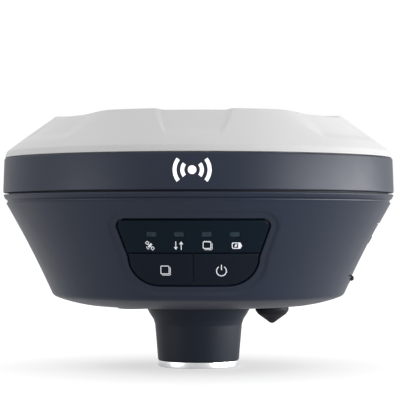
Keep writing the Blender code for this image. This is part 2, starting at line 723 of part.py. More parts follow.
def make_boards():
    board = box("main_board", (-43.0, -50.0, 76.1), (43.0, 50.0, 77.7), CIRCUIT)
    for index, (x, y) in enumerate(BOARD_HOLES):
        cut(board, rod(f"board_hole_{index}", 1.6, (x, y, 70.0), (x, y, 80.0), None, SCREW_SEGMENTS))
        cap_screw(f"board_screw_{index + 1}", x, y, 75.8, 2.4, 1.2, 7.0, 1.6)
    box("gnss_module", (-38.0, -8.0, 71.8), (2.0, 34.0, 75.8), SHIELD, bevel=0.6)
    box("cellular_module", (8.0, 8.0, 72.8), (38.0, 38.0, 75.8), SHIELD, bevel=0.6)
    box("radio_module", (-34.0, -40.0, 70.6), (26.0, -12.0, 75.8), SHIELD, bevel=0.6)


def make_antenna():
    disc = [(0.0, 89.8), (87.5, 89.8), (87.5, 88.3), (0.0, 88.3)]
    plane = lathe("antenna_ground_plane", disc, ALUMINIUM, segments=32)
    cut(plane, *deck_holes("plane_hole", 1.6))
    for index, (x, y) in enumerate(deck_screw_places()):
        cap_screw(f"deck_screw_{index + 1}", x, y, 90.1, 2.5, 1.3, -6.4, 1.6)
    for name, radius, low, high in (("lower", 38.0, 90.1, 96.1), ("upper", 26.0, 96.4, 101.4)):
        patch = [(0.0, high), (radius - 0.8, high), (radius, high - 0.8), (radius, low), (0.0, low)]
        lathe(f"antenna_{name}_patch", patch, CERAMIC, segments=24)


# ---------------------------------------------------------------- assembly

clear_scene()
PIECES = new_collection("gnss_receiver")
HELPERS = new_collection("helpers", hidden=True)

LIGHT_PLASTIC = new_material("light_plastic", (0.58, 0.58, 0.58), 0.45)
DARK_PLASTIC = new_material("dark_plastic", (0.052, 0.062, 0.085), 0.5)
BLACK_PLASTIC = new_material("black_plastic", (0.012, 0.012, 0.015), 0.6)
PANEL_PLASTIC = new_material("panel_plastic", (0.014, 0.018, 0.026), 0.35)
KEY_RUBBER = new_material("key_rubber", (0.012, 0.015, 0.022), 0.55)
RUBBER = new_material("rubber", (0.010, 0.010, 0.013), 0.7)
LENS = new_material("lens", (0.02, 0.05, 0.07), 0.2)
STEEL = new_material("steel", (0.55, 0.56, 0.58), 0.3, 1.0)
ALUMINIUM = new_material("aluminium", (0.7, 0.71, 0.72), 0.4, 1.0)
CIRCUIT = new_material("circuit_board", (0.01, 0.10, 0.04), 0.5)
SHIELD = new_material("shield_can", (0.6, 0.6, 0.58), 0.35, 1.0)
CERAMIC = new_material("ceramic", (0.72, 0.66, 0.52), 0.5)
BATTERY_PLASTIC = new_material("battery_plastic", (0.03, 0.03, 0.035), 0.5)
LABEL = new_material("label", (0.45, 0.46, 0.47), 0.4, 1.0)

make_radome()
make_band()
make_seals()
make_lower_housing()
make_neck()
make_pole_insert()
make_keypad()
make_door()
make_battery()
make_underside()
make_chassis()
make_boards()
make_antenna()
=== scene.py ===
"""Looks of the GNSS receiver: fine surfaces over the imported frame, materials, light and camera.

Lengths are in millimetres and are scaled when a mesh is made. The keypad faces -Y and the battery door +X.
"""

import json
from math import asin, atan, cos, degrees, hypot, pi, radians, sin, sqrt, tan

import bmesh
import bpy
from mathutils import Matrix, Vector
from mathutils.geometry import delaunay_2d_cdt
from mathutils.kdtree import KDTree


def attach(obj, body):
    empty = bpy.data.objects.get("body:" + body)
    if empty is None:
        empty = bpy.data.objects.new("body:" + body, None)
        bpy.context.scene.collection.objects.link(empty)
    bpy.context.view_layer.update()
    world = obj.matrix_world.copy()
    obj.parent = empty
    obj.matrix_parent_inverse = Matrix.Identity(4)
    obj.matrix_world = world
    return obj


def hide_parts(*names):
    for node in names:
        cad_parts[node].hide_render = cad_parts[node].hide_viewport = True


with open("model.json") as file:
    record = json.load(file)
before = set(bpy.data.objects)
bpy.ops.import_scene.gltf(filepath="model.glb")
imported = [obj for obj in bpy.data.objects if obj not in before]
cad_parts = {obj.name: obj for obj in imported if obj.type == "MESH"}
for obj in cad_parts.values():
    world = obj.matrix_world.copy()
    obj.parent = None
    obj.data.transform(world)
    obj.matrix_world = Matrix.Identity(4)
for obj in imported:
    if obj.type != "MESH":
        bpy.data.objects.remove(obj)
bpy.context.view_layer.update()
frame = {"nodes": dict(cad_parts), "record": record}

MM = 0.001
SEGMENTS = 192
COLUMNS = 240  # round the lower housing
SMALL_SEGMENTS = 48
FRONT = -pi / 2
RIGHT = 0.0
SLIVER = 1e-4  # twice the area of a triangle that is only rounding between points in line
BODY_COLOUR = (0.0036, 0.0074, 0.0185)
NECK_COLOUR = (0.0048, 0.0078, 0.0140)
LIGHT_COLOUR = (0.305, 0.305, 0.305)
PANEL_COLOUR = (0.0019, 0.0052, 0.0094)
KEY_COLOUR = (0.0038, 0.0060, 0.0105)
RUBBER_COLOUR = (0.0060, 0.0062, 0.0095)
ROOM = 0.85  # how bright the room is behind the camera

# Lower housing, as in the frame: a flared cone, a rounded foot and a dished underside
CONE_FOOT_Z = 34.3
CONE_FOOT_R = 70.65
CONE_SLOPE = 0.446
CONE_FLARE = 0.00145
CONE_TOP_Z = 79.4
CONE_LOW_Z = 36.4
FOOT_ROUND = 4.0
FLOOR_Z = 29.8
DISH_R = 45.4
DISH_CURVE = 0.00774
WALL = 2.6

# Band and radome, as in the frame
BAND_LOW = 84.5
BAND_HIGH = 101.1
RIM_R = 70.2
CHANNEL_COUNT = 6

# Keypad and door outlines, as in the frame
KEYPAD_TOP = 70.6
KEYPAD_LOW = 41.7
KEYPAD_SPLIT = 56.05
KEYPAD_HALF_TOP = 34.05
KEYPAD_HALF_LOW = 29.15
KEYPAD_BEND_Z = 54.0
KEYPAD_HALF_FOOT = 15.3
KEYPAD_CORNER = 2.7
GROOVE = 0.9
KEY_GAP = 0.5
RECESS_DEPTH = 0.7
KEY_DEPTH = 0.5
LAMP_X = (-18.6, -6.2, 6.2, 18.6)
LAMP_Z = 64.5
ICON_X = (-19.4, -6.5, 6.5, 19.4)
ICON_Z = 59.6
KEY_X = 12.6
KEY_Z = 48.4
FRONT_Z = 57.0
DOOR_HALF = 22.5
DOOR_LOW = 44.6
DOOR_HIGH = 69.4
DOOR_CORNER = 3.0
HINGE_X = 74.05
HINGE_Z = 43.4
HINGE_R = 1.4
POCKET_R = 1.9
KNUCKLE_HALF = 7.0
EAR_END = 11.6

# Skin round the keypad and the doorway: distances from the opening, and depths of its rounded edge
KEYPAD_GROWS = [GROOVE, 0.98, 1.1, 1.25, 1.9, 2.6, 3.2, 3.45, 3.7, 3.95, 4.2, 4.45, 4.7]
DOOR_GROWS = [0.0, 0.08, 0.2, 0.35]
EDGE_DEPTHS = [0.3, 0.14, 0.04, 0.0]
DEVELOPED = 80.0  # radius that turns azimuth into a length on the flattened cone

# Ports and screws of the underside, and the pole thread
ANTENNA_PORT = (36.0, 0.0)
SERIAL_PORT = (-32.0, 18.0)
VENT = (24.0, 34.0)
FLOOR_HOLES = [(ANTENNA_PORT, 5.0), (SERIAL_PORT, 7.4), (VENT, 2.8)]
NECK_HOLE_R = 17.3
SCREW_PLACES = [(x, y) for x in (-48.5, 48.5) for y in (-28.0, 28.0)]
SCREW_SEAT = 33.6
WELL_R = 3.4
BOSS_TOP = 37.0
THREAD_PITCH = 25.4 / 11
THREAD_START = 1.2
THREAD_LENGTH = 14.0


# ---------------------------------------------------------------- numbers and outlines


def spaced(start, end, count):
    return [start + (end - start) * i / (count - 1) for i in range(count)]


def smooth(value, low, high):
    """0 below low, 1 above high, with a soft step between."""
    t = min(1.0, max(0.0, (value - low) / (high - low)))
    return t * t * (3.0 - 2.0 * t)


def arc(centre, radius, start, end, count):
    angles = [radians(a) for a in spaced(start, end, count)]
    return [(centre[0] + radius * cos(a), centre[1] + radius * sin(a)) for a in angles]


def mirrored(half):
    return half + [(-x, z) for x, z in reversed(half)]


def divided(loop, counts):
    """A closed outline whose sides are cut into the given numbers of steps."""
    points = []
    for (x0, z0), (x1, z1), count in zip(loop, loop[1:] + loop[:1], counts):
        points += [(x0 + (x1 - x0) * i / count, z0 + (z1 - z0) * i / count) for i in range(count)]
    return points


def side_counts(loop, step):
    sides = zip(loop, loop[1:] + loop[:1])
    return [max(1, round(hypot(x1 - x0, z1 - z0) / step)) for (x0, z0), (x1, z1) in sides]


def alike(loops, step):
    """Offset outlines cut alike, so that each point has its partner in the next outline."""
    counts = side_counts(loops[0], step)
    return [divided(loop, counts) for loop in loops]


def rounded(corners, default=0.4, count=5):
    """Points of a profile with its corners rounded. A corner is (r, z) or (r, z, its own radius)."""
    points = []
    last = len(corners) - 1
    for i, corner in enumerate(corners):
        here = Vector(corner[:2])
        radius = corner[2] if len(corner) > 2 else default
        if i in (0, last) or radius == 0:
            points.append(tuple(here))
            continue
        back, on = Vector(corners[i - 1][:2]) - here, Vector(corners[i + 1][:2]) - here
        turn = back.angle(on)
        reach = min(radius / tan(turn / 2), 0.48 * back.length, 0.48 * on.length)
        start, end = here + back.normalized() * reach, here + on.normalized() * reach
        for t in spaced(0.0, 1.0, count):
            points.append(tuple(start * (1 - t) ** 2 + here * 2 * t * (1 - t) + end * t * t))
    return points


def inside(point, loop):
    """Whether a point lies in a closed outline."""
    x, y = point
    odd = False
    for (x0, y0), (x1, y1) in zip(loop, loop[1:] + loop[:1]):
        if (y0 > y) != (y1 > y) and x < (x1 - x0) * (y - y0) / (y1 - y0) + x0:
            odd = not odd
    return odd


def keypad_side(z, grow):
    share = (z - KEYPAD_BEND_Z) / (KEYPAD_TOP - KEYPAD_CORNER - KEYPAD_BEND_Z)
    return KEYPAD_HALF_LOW + (KEYPAD_HALF_TOP - KEYPAD_HALF_LOW) * share + grow


def upper_half(grow, low):
    corner = max(0.6, KEYPAD_CORNER + grow)
    centre = (KEYPAD_HALF_TOP + grow - corner, KEYPAD_TOP + grow - corner)
    return arc(centre, corner, 90.0, 0.0, 9) + [(keypad_side(low, grow), low)]


def lower_half(grow, high):
    points = [(keypad_side(high, grow), high)]
    wide = KEYPAD_HALF_LOW - KEYPAD_HALF_FOOT + grow
    tall = KEYPAD_BEND_Z - KEYPAD_LOW + grow
    for turn in spaced(0.0, -90.0, 19):
        across = KEYPAD_HALF_FOOT + wide * cos(radians(turn))
        points.append((across, KEYPAD_BEND_Z + tall * sin(radians(turn))))
    return points


def keypad_outline(grow):
    return mirrored(upper_half(grow, KEYPAD_SPLIT)[:-1] + lower_half(grow, KEYPAD_SPLIT)[1:])


def panel_outline(inset):
    return mirrored(upper_half(-inset, KEYPAD_SPLIT + KEY_GAP / 2 + inset))


def key_outline(side, inset):
    half = lower_half(-inset, KEYPAD_SPLIT - KEY_GAP / 2 - inset)
    edge = KEY_GAP / 2 + inset
    outline = [(edge, half[0][1]), *half, (edge, KEYPAD_LOW + inset)]
    return [(side * x, z) for x, z in outline][::side]


def rectangle(low, high, corner, count=6):
    """A rectangle with round corners, between two points."""
    quarters = ((1, 1, 90.0), (1, -1, 0.0), (-1, -1, -90.0), (-1, 1, -180.0))
    middle = ((low[0] + high[0]) / 2, (low[1] + high[1]) / 2)
    reach = ((high[0] - low[0]) / 2 - corner, (high[1] - low[1]) / 2 - corner)
    loop = []
    for across, up, start in quarters:
        centre = (middle[0] + across * reach[0], middle[1] + up * reach[1])
        loop += arc(centre, corner, start, start - 90.0, count)
    return loop


def door_outline(grow):
    low, high = (-DOOR_HALF - grow, DOOR_LOW - grow), (DOOR_HALF + grow, DOOR_HIGH + grow)
    return rectangle(low, high, DOOR_CORNER + grow)


def low_side(loop):
    """Index of the outline's side that crosses the middle at its foot."""
    return next(i for i in range(len(loop) - 1) if loop[i][0] > 0 > loop[i + 1][0] and loop[i][1] < 50.0)


def doorway_outline(grow):
    """The opening for the door, with a notch for the hinge knuckle under it."""
    loop = door_outline(0.4 + grow)
    at = low_side(loop)
    low = loop[at][1]
    half, foot = KNUCKLE_HALF + 0.4 + grow, HINGE_Z - POCKET_R - grow
    return loop[: at + 1] + [(half, low), (half, foot), (-half, foot), (-half, low)] + loop[at + 1 :]


# ---------------------------------------------------------------- places on the cone


def cone_angle(z):
    return atan(CONE_SLOPE + 2 * CONE_FLARE * (z - CONE_FOOT_Z))


def cone_radius(z):
    rise = z - CONE_FOOT_Z
    return CONE_FOOT_R + CONE_SLOPE * rise + CONE_FLARE * rise**2


def cone_place(turn, z, depth):
    """The point at an azimuth and height, moved inwards along the surface's normal."""
    tilt = cone_angle(z)
    radius = cone_radius(z) - depth * cos(tilt)
    return Vector((radius * cos(turn), radius * sin(turn), z + depth * sin(tilt)))


def turn_of(across, z, azimuth):
    """The azimuth of a point that lies this far across, seen from the azimuth."""
    return azimuth + asin(across / cone_radius(z))


def seen_place(across, z, depth, azimuth):
    return cone_place(turn_of(across, z, azimuth), z, depth)


def slope_frame(azimuth, z):
    tilt = cone_angle(z)
    radial = Vector((cos(azimuth), sin(azimuth), 0.0))
    across = Vector((-sin(azimuth), cos(azimuth), 0.0))
    up = radial * sin(tilt) + Vector((0.0, 0.0, cos(tilt)))
    out = radial * cos(tilt) - Vector((0.0, 0.0, sin(tilt)))
    made = Matrix((across, up, out)).transposed().to_4x4()
    made.translation = radial * cone_radius(z) + Vector((0.0, 0.0, z))
    return made


# ---------------------------------------------------------------- meshes


def finish_piece(name, mesh, body, material, nodes=(), sharp=32.0):
    mesh.materials.append(material)
    if sharp:
        mesh.shade_smooth()
        mesh.set_sharp_from_angle(angle=radians(sharp))
    obj = bpy.data.objects.new(name, mesh)
    bpy.context.scene.collection.objects.link(obj)
    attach(obj, body)
    if nodes:
        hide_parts(*nodes)
    return obj


def mesh_of(name, points, faces, weld=0.0):
    mesh = bpy.data.meshes.new(name)
    mesh.from_pydata([Vector(p) * MM for p in points], [], faces)
    shape = bmesh.new()
    shape.from_mesh(mesh)
    if weld:
        bmesh.ops.remove_doubles(shape, verts=shape.verts, dist=weld * MM)
    bmesh.ops.recalc_face_normals(shape, faces=shape.faces)
    shape.to_mesh(mesh)
    shape.free()
    return mesh


def turned_rows(profile, segments, at=(0.0, 0.0), closed=False):
    """(points, faces) of a profile of (radius, height) turned round a vertical axis."""
    points, faces = [], []
    for r, z in profile:
        for i in range(segments):
            turn = 2 * pi * i / segments
            points.append((at[0] + r * cos(turn), at[1] + r * sin(turn), z))
    rows = len(profile)
    for k in range(rows if closed else rows - 1):
        a, b = k * segments, (k + 1) % rows * segments
        for i in range(segments):
            j = (i + 1) % segments
            faces.append((a + i, b + i, b + j, a + j))
    return points, faces


def lathe(name, profile, body, material, nodes=(), segments=SEGMENTS, at=(0.0, 0.0), closed=False):
    points, faces = turned_rows(profile, segments, at, closed)
    return finish_piece(name, mesh_of(name, points, faces, weld=0.002), body, material, nodes)


def triangulated(loops, fill, keep):
    """(points, tags, triangles). The loops stay as edges, and a point's tag is its loop's number or -1."""
    points, tags, edges = [], [], []
    for index, loop in enumerate(loops):
        start = len(points)
        points += loop
        tags += [index] * len(loop)
        edges += [(start + i, start + (i + 1) % len(loop)) for i in range(len(loop))]
    tree = KDTree(len(points))
    for i, (x, y) in enumerate(points):
        tree.insert((x, y, 0.0), i)
    tree.balance()
    free = [p for p in fill if tree.find((*p, 0.0))[2] > 0.35]
    points += free
    tags += [-1] * len(free)
    made, _, triangles, origins, _, _ = delaunay_2d_cdt([Vector(p) for p in points], edges, [], 0, 1e-5)
    new_tags = [tags[o[0]] if o else -1 for o in origins]
    kept = []
    for corners in triangles:
        a, b, c = (made[i] for i in corners)
        if abs((b - a).cross(c - a)) > SLIVER and keep(tuple((a + b + c) / 3)):
            kept.append(tuple(corners))
    return [tuple(p) for p in made], new_tags, kept


def grid(low, high, step):
    across, up = (max(2, round((high[i] - low[i]) / step)) for i in (0, 1))
    return [
        (low[0] + (high[0] - low[0]) * (i + 0.5 * (j % 2)) / across, low[1] + (high[1] - low[1]) * j / up)
        for i in range(1, across)
        for j in range(1, up)
    ]


def border(faces):
    """Edges with one face, in that face's direction."""
    found = {}
    for face in faces:
        for a, b in zip(face, face[1:] + face[:1]):
            if (b, a) in found:
                del found[(b, a)]
            else:
                found[(a, b)] = True
    return list(found)


def strips(loops):
    """Quads between outlines of equal length, numbered from the first outline on."""
    count = len(loops[0])
    faces = []
    for k in range(len(loops) - 1):
        for i in range(count):
            j = (i + 1) % count
            faces.append((k * count + i, (k + 1) * count + i, (k + 1) * count + j, k * count + j))
    return faces


def slab(name, loops, depths, thickness, place, body, material, nodes=(), holes=(), step=2.0):
    """A closed plate. The loops run inwards from its outline, each at its own depth, as round its holes."""
    inner, rims = loops[-1], [ring[-1] for ring in holes]
    xs, ys = [p[0] for p in inner], [p[1] for p in inner]
    fill = [p for p in grid((min(xs), min(ys)), (max(xs), max(ys)), step) if inside(p, inner)]
    flat, _, faces = triangulated(
        [inner, *rims], fill, lambda p: inside(p, inner) and not any(inside(p, rim) for rim in rims)
    )
    plan = list(flat)
    front = [place(x, y, depths[-1]) for x, y in flat]
    for rows in (loops, *holes):
        start = len(front)
        for row, depth in zip(rows, depths[len(depths) - len(rows) :]):
            plan += row
            front += [place(x, y, depth) for x, y in row]
        faces += [tuple(start + i for i in face) for face in strips(rows)]
    count = len(front)
    back = [place(x, y, thickness) for x, y in plan]
    backs = [tuple(i + count for i in reversed(face)) for face in faces]
    sides = []
    for rows in (loops, *holes):
        edge = [plan.index(point) for point in rows[0]]
        for a, b in zip(edge, edge[1:] + edge[:1]):
            sides.append((a, b, b + count, a + count))
    mesh = mesh_of(name, front + back, faces + backs + sides, weld=0.0005)
    return finish_piece(name, mesh, body, material, nodes, 40.0)


def fillet_depths(radius, insets):
    """How deep a rounded edge lies at each distance from the outline."""
    return [radius - sqrt(max(0.0, radius**2 - (radius - inset) ** 2)) for inset in insets]


# ---------------------------------------------------------------- materials


class Tree:
    """Builds a node material step by step."""

    def __init__(self, name):
        self.material = bpy.data.materials.new(name)
        self.material.use_nodes = True
        self.nodes = self.material.node_tree.nodes
        self.links = self.material.node_tree.links
        self.shader = self.nodes["Principled BSDF"]
        self.place = self.add("ShaderNodeTexCoord").outputs["Object"]

    def add(self, kind, **values):
        node = self.nodes.new(kind)
        for key, value in values.items():
            setattr(node, key, value)
        return node

    def set(self, socket, value):
        self.shader.inputs[socket].default_value = value

    def stretched(self, scale):
        node = self.add("ShaderNodeMapping")
        node.inputs["Scale"].default_value = scale
        self.links.new(self.place, node.inputs["Vector"])
        return node.outputs["Vector"]

    def noise(self, size_mm, detail=3.0, roughness=0.5, vector=None):
        node = self.add("ShaderNodeTexNoise")
        node.inputs["Scale"].default_value = 1.0 / (size_mm * MM)
        node.inputs["Detail"].default_value = detail
        node.inputs["Roughness"].default_value = roughness
        self.links.new(vector or self.place, node.inputs["Vector"])
        return node.outputs["Fac"]

    def cells(self, size_mm):
        node = self.add("ShaderNodeTexVoronoi")
        node.inputs["Scale"].default_value = 1.0 / (size_mm * MM)
        self.links.new(self.place, node.inputs["Vector"])
        return node.outputs["Distance"]

    def ranged(self, value, low, high, start=0.3, end=0.7):
        node = self.add("ShaderNodeMapRange")
        for key, number in (("From Min", start), ("From Max", end), ("To Min", low), ("To Max", high)):
            node.inputs[key].default_value = number
        self.links.new(value, node.inputs["Value"])
        return node.outputs["Result"]

    def mixed(self, factor, first, second):
        """A colour between two, each a colour or another node's output."""
        node = self.add("ShaderNodeMix", data_type="RGBA")
        self.links.new(factor, node.inputs["Factor"])
        for socket, colour in ((node.inputs[6], first), (node.inputs[7], second)):
            if isinstance(colour, tuple):
                socket.default_value = (*colour, 1.0)
            else:
                self.links.new(colour, socket)
        return node.outputs[2]

    def colour(self, output):
        self.links.new(output, self.shader.inputs["Base Color"])

    def rough(self, output):
        self.links.new(output, self.shader.inputs["Roughness"])

    def bump(self, height, strength, distance_mm):
        node = self.add("ShaderNodeBump")
        node.inputs["Strength"].default_value = strength
        node.inputs["Distance"].default_value = distance_mm * MM
        self.links.new(height, node.inputs["Height"])
        self.links.new(node.outputs["Normal"], self.shader.inputs["Normal"])


def scaled(colour, factor):
    return tuple(channel * factor for channel in colour)


def plastic(name, colour, roughness, grain=(0.35, 0.02, 0.35), vary=0.06, specular=0.5):
    """Moulded plastic with faint flow marks and a fine grain of (size, depth, strength)."""
    tree = Tree(name)
    flow = tree.noise(38.0, 2.0)
    tree.colour(tree.mixed(tree.ranged(flow, 0.0, 1.0), scaled(colour, 1 - vary), scaled(colour, 1 + vary)))
    tree.rough(tree.ranged(tree.noise(6.0, 4.0), roughness - 0.01, roughness + 0.02))
    size, depth, strength = grain
    tree.bump(tree.noise(size, 4.0, 0.6), strength, depth)
    tree.set("Specular IOR Level", specular)
    return tree.material


def metal(name, colour, roughness, stretch=(1.0, 1.0, 14.0), line_mm=2.0):
    """Turned or brushed metal: fine lines that run across the stretched axis."""
    tree = Tree(name)
    lines = tree.noise(line_mm, 6.0, 0.7, tree.stretched(stretch))
    tree.colour(tree.mixed(tree.ranged(lines, 0.0, 1.0), scaled(colour, 0.86), scaled(colour, 1.06)))
    tree.rough(tree.ranged(lines, roughness - 0.07, roughness + 0.1))
    tree.bump(lines, 0.25, 0.01)
    tree.set("Metallic", 1.0)
    return tree.material


def circuit(name):
    """Solder mask with darker copper areas and pale pads."""
    tree = Tree(name)
    areas = tree.ranged(tree.noise(7.0, 2.0, 0.3), 0.0, 1.0, 0.47, 0.53)
    mask = tree.mixed(areas, (0.006, 0.060, 0.022), (0.012, 0.115, 0.040))
    pads = tree.ranged(tree.cells(2.6), 1.0, 0.0, 0.10, 0.16)
    tree.colour(tree.mixed(pads, mask, (0.62, 0.58, 0.44)))
    tree.rough(tree.ranged(areas, 0.34, 0.42, 0.0, 1.0))
    tree.bump(areas, 0.4, 0.04)
    return tree.material


def lamp_lens(name):
    """Tinted lens with a faintly uneven glow from the light behind it."""
    tree = Tree(name)
    spread = tree.noise(1.6, 2.0)
    tree.colour(tree.mixed(tree.ranged(spread, 0.0, 1.0), (0.006, 0.014, 0.022), (0.013, 0.024, 0.034)))
    tree.rough(tree.ranged(spread, 0.16, 0.26))
    tree.bump(spread, 0.1, 0.02)
    tree.set("Specular IOR Level", 0.12)
    return tree.material


def ceramic(name):
    tree = Tree(name)
    specks = tree.noise(0.8, 5.0, 0.7)
    tree.colour(tree.mixed(tree.ranged(specks, 0.0, 1.0), (0.60, 0.54, 0.42), (0.76, 0.70, 0.57)))
    tree.rough(tree.ranged(specks, 0.45, 0.6))
    tree.bump(specks, 0.3, 0.03)
    return tree.material


BODY_GRAIN = (0.32, 0.03, 0.5)
INK_GRAIN = (0.15, 0.004, 0.2)
LIGHT = plastic("light_plastic", LIGHT_COLOUR, 0.5, (0.30, 0.012, 0.3), vary=0.02, specular=0.2)
DARK = plastic("dark_plastic", BODY_COLOUR, 0.46, BODY_GRAIN, specular=0.25)
NECK = plastic("neck_plastic", NECK_COLOUR, 0.48, BODY_GRAIN, specular=0.14)
BLACK = plastic("black_plastic", (0.012, 0.012, 0.015), 0.55)
PANEL = plastic("panel_plastic", PANEL_COLOUR, 0.38, (0.20, 0.006, 0.25), specular=0.05)
KEYS = plastic("key_rubber", KEY_COLOUR, 0.46, (0.22, 0.010, 0.3), specular=0.05)
RUBBER = plastic("rubber", RUBBER_COLOUR, 0.58, (0.45, 0.03, 0.5), specular=0.15)
INK = plastic("printed_ink", (0.52, 0.53, 0.56), 0.5, INK_GRAIN)
MARK_INK = plastic("mark_ink", (0.88, 0.89, 0.90), 0.45, INK_GRAIN)
BATTERY = plastic("battery_plastic", (0.030, 0.032, 0.038), 0.5)
LENS = lamp_lens("lamp_lens")
STEEL = metal("steel", (0.66, 0.67, 0.68), 0.30)
ALUMINIUM = metal("aluminium", (0.68, 0.69, 0.70), 0.38, (1.0, 10.0, 1.0))
SHIELD = metal("shield_can", (0.60, 0.60, 0.58), 0.32, (8.0, 1.0, 1.0))
LABEL = metal("label_plate", (0.42, 0.43, 0.45), 0.42, (1.0, 12.0, 1.0))
CIRCUIT = circuit("circuit_board")
CERAMIC = ceramic("ceramic")


# ---------------------------------------------------------------- radome


def channel_shape(index, radius):
    """(floor's half angle, top's half angle, depth): every second channel is wide and deep."""
    out = max(0.0, radius - RIM_R)
    fade = smooth(radius, 24.0, 46.0) * (1.0 - smooth(radius, 81.0, 89.0))
    if index % 2:
        return 9.5 + 0.4 * out, max(26.0 - 0.4 * out, 12.0 + 0.4 * out), 1.7 * fade
    return 12.0 - 0.28 * out, 15.0 - 0.38 * out, 0.8 * fade


def channel_columns(floor_half, top_half):
    """(angle, share of the depth) across one sixth of the radome: the columns follow the channel's edges."""
    outside = [(a, 0.0) for a in spaced(-30.0, -top_half - 0.3, 9)]
    wall = [(-top_half + (top_half - floor_half) * t, smooth(t, 0.0, 1.0)) for t in spaced(0.04, 0.96, 9)]
    half = outside + wall + [(a, 1.0) for a in spaced(-floor_half + 0.3, 0.0, 8)]
    return half + [(-a, share) for a, share in reversed(half[1:-1])]


def radome_row(radius, z, sunk=True):
    row = []
    for index in range(CHANNEL_COUNT):
        floor_half, top_half, depth = channel_shape(index, radius)
        for offset, share in channel_columns(floor_half, top_half):
            turn = FRONT + radians(index * 360.0 / CHANNEL_COUNT + offset)
            row.append((radius * cos(turn), radius * sin(turn), z - share * depth * sunk))
    return row


def make_radome():
    top = [(r, 122.48 - 0.42 * (r / 68.0) ** 2) for r in spaced(0.5, 67.0, 24)]
    rim = rounded([(67.0, 122.07), (69.8, 122.02, 2.4), (73.4, 119.36)], count=8)[1:-1]
    slope = [(r, 119.36 - 0.738 * (r - 73.4)) for r in spaced(73.4, 90.4, 24)]
    lip = rounded([(90.4, 106.81), (93.5, 104.45, 2.0), (94.45, 101.4, 0.35), (93.4, 101.4, 0)], count=7)[1:]
    lip += [(93.4, 102.1), (91.0, 102.1)]
    cavity = [(91.0, 97.5), (89.2, 97.5), (89.2, 104.4), (84.5, 107.8), (69.5, 117.6)]
    cavity += [(30.0, 119.0), (0.5, 119.0)]
    rows = [radome_row(r, z) for r, z in top + rim + slope]
    rows += [radome_row(r, z, sunk=False) for r, z in lip + cavity]
    count = len(rows[0])
    points = [p for row in rows for p in row]
    faces = strips(rows)
    for ring, z in ((range(count), 122.48), (range(len(points) - count, len(points)), 119.0)):
        points.append((0.0, 0.0, z))
        faces += [(a, b, len(points) - 1) for a, b in zip(ring, [*ring[1:], ring[0]])]
    mesh = mesh_of("radome_shell", points, faces)
    finish_piece("radome_shell", mesh, "housing", LIGHT, ["radome"], 38.0)


# ---------------------------------------------------------------- band and seams


def make_band():
    outside = [(91.4, BAND_HIGH), (94.7, BAND_HIGH, 0.7), (95.25, 85.6, 3.0), (95.2, BAND_LOW, 0.6)]
    inside_rows = [(91.4, 86.0), (80.0, 86.0), (80.0, 88.0), (91.4, 88.0)]
    profile = rounded([*outside, (91.4, BAND_LOW, 0.2)], count=6) + inside_rows
    lathe("band_ring", profile, "housing", DARK, ["housing_band"], closed=True)
    for name, node, inner, outer, low, high in (
        ("radome_gasket", "radome_seal", 91.6, 93.0, 101.4, 101.8),
        ("housing_gasket", "housing_seal", 91.0, 92.6, 83.32, 84.48),
    ):
        profile = rounded([(inner, high), (outer, high, 0.15), (outer, low, 0.15), (inner, low)], count=4)
        lathe(name, profile, "housing", RUBBER, [node], closed=True)


def prints(name, shapes, place, body, material, rise=0.05, depth=0.0):
    """Printed marks: thin closed plates. Outlines that share an edge become one plate."""
    points, faces = [], []
    edges = {edge for outline in shapes for edge in zip(outline, outline[1:] + outline[:1])}
    for outline in shapes:
        start, count = len(points), len(outline)
        points += [place(x, z, depth - rise) for x, z in outline]
        points += [place(x, z, depth + rise) for x, z in outline]
        faces.append(tuple(range(start, start + count)))
        faces.append(tuple(range(start + 2 * count - 1, start + count - 1, -1)))
        for i in range(count):
            j = (i + 1) % count
            if (outline[j], outline[i]) not in edges:
                faces.append((start + i, start + count + i, start + count + j, start + j))
    mesh = mesh_of(name, points, faces, weld=0.0005)
    finish_piece(name, mesh, body, material, sharp=0.0)


def stroke(points, width, closed=False):
    """Outlines of the bars between points, a little longer than their ends so that they join."""
    shapes = []
    ends = points[1:] + points[:1] if closed else points[1:]
    for (x0, z0), (x1, z1) in zip(points, ends):
        length = hypot(x1 - x0, z1 - z0)
        ux, uz = (x1 - x0) / length * width / 2, (z1 - z0) / length * width / 2
        ax, az, bx, bz = x0 - ux * 0.4, z0 - uz * 0.4, x1 + ux * 0.4, z1 + uz * 0.4
        shapes.append([(ax - uz, az + ux), (bx - uz, bz + ux), (bx + uz, bz - ux), (ax + uz, az - ux)])
    return shapes


def ring_stroke(centre, radius, start, end, width, count=14):
    """The outline of one curved bar."""
    outer = arc(centre, radius + width / 2, start, end, count)
    return outer + arc(centre, radius - width / 2, end, start, count)


def split_strip(shape):
    """Cuts a curved bar into four-sided pieces, which stay flat on the round surface."""
    half = len(shape) // 2
    return [[shape[i], shape[i + 1], shape[-2 - i], shape[-1 - i]] for i in range(half - 1)]


def make_mark():
    """A plain signal mark on the band: a dot between waves on both sides."""
    middle = 93.2

    def place(x, z, depth):
        radius = 94.7 + 0.55 * (BAND_HIGH - z) / (BAND_HIGH - BAND_LOW) - depth
        turn = FRONT + x / radius
        return Vector((radius * cos(turn), radius * sin(turn), z))

    shapes = [arc((0.0, middle), 1.9, 0.0, 345.0, 24)]
    for radius in (4.3, 7.7):
        for start in (-38.0, 142.0):
            shapes += split_strip(ring_stroke((0.0, middle), radius, start, start + 76.0, 1.7))
    prints("band_mark", shapes, place, "housing", MARK_INK, rise=0.06)


# ---------------------------------------------------------------- lower housing


def flattened(across, z, azimuth):
    return ((turn_of(across, z, azimuth) - FRONT) * DEVELOPED, z)


def window_rows(outline, grows, azimuth):
    """Outlines round a window on the flattened cone, from its edge outwards."""
    return [[flattened(x, z, azimuth) for x, z in loop] for loop in alike([outline(g) for g in grows], 1.2)]


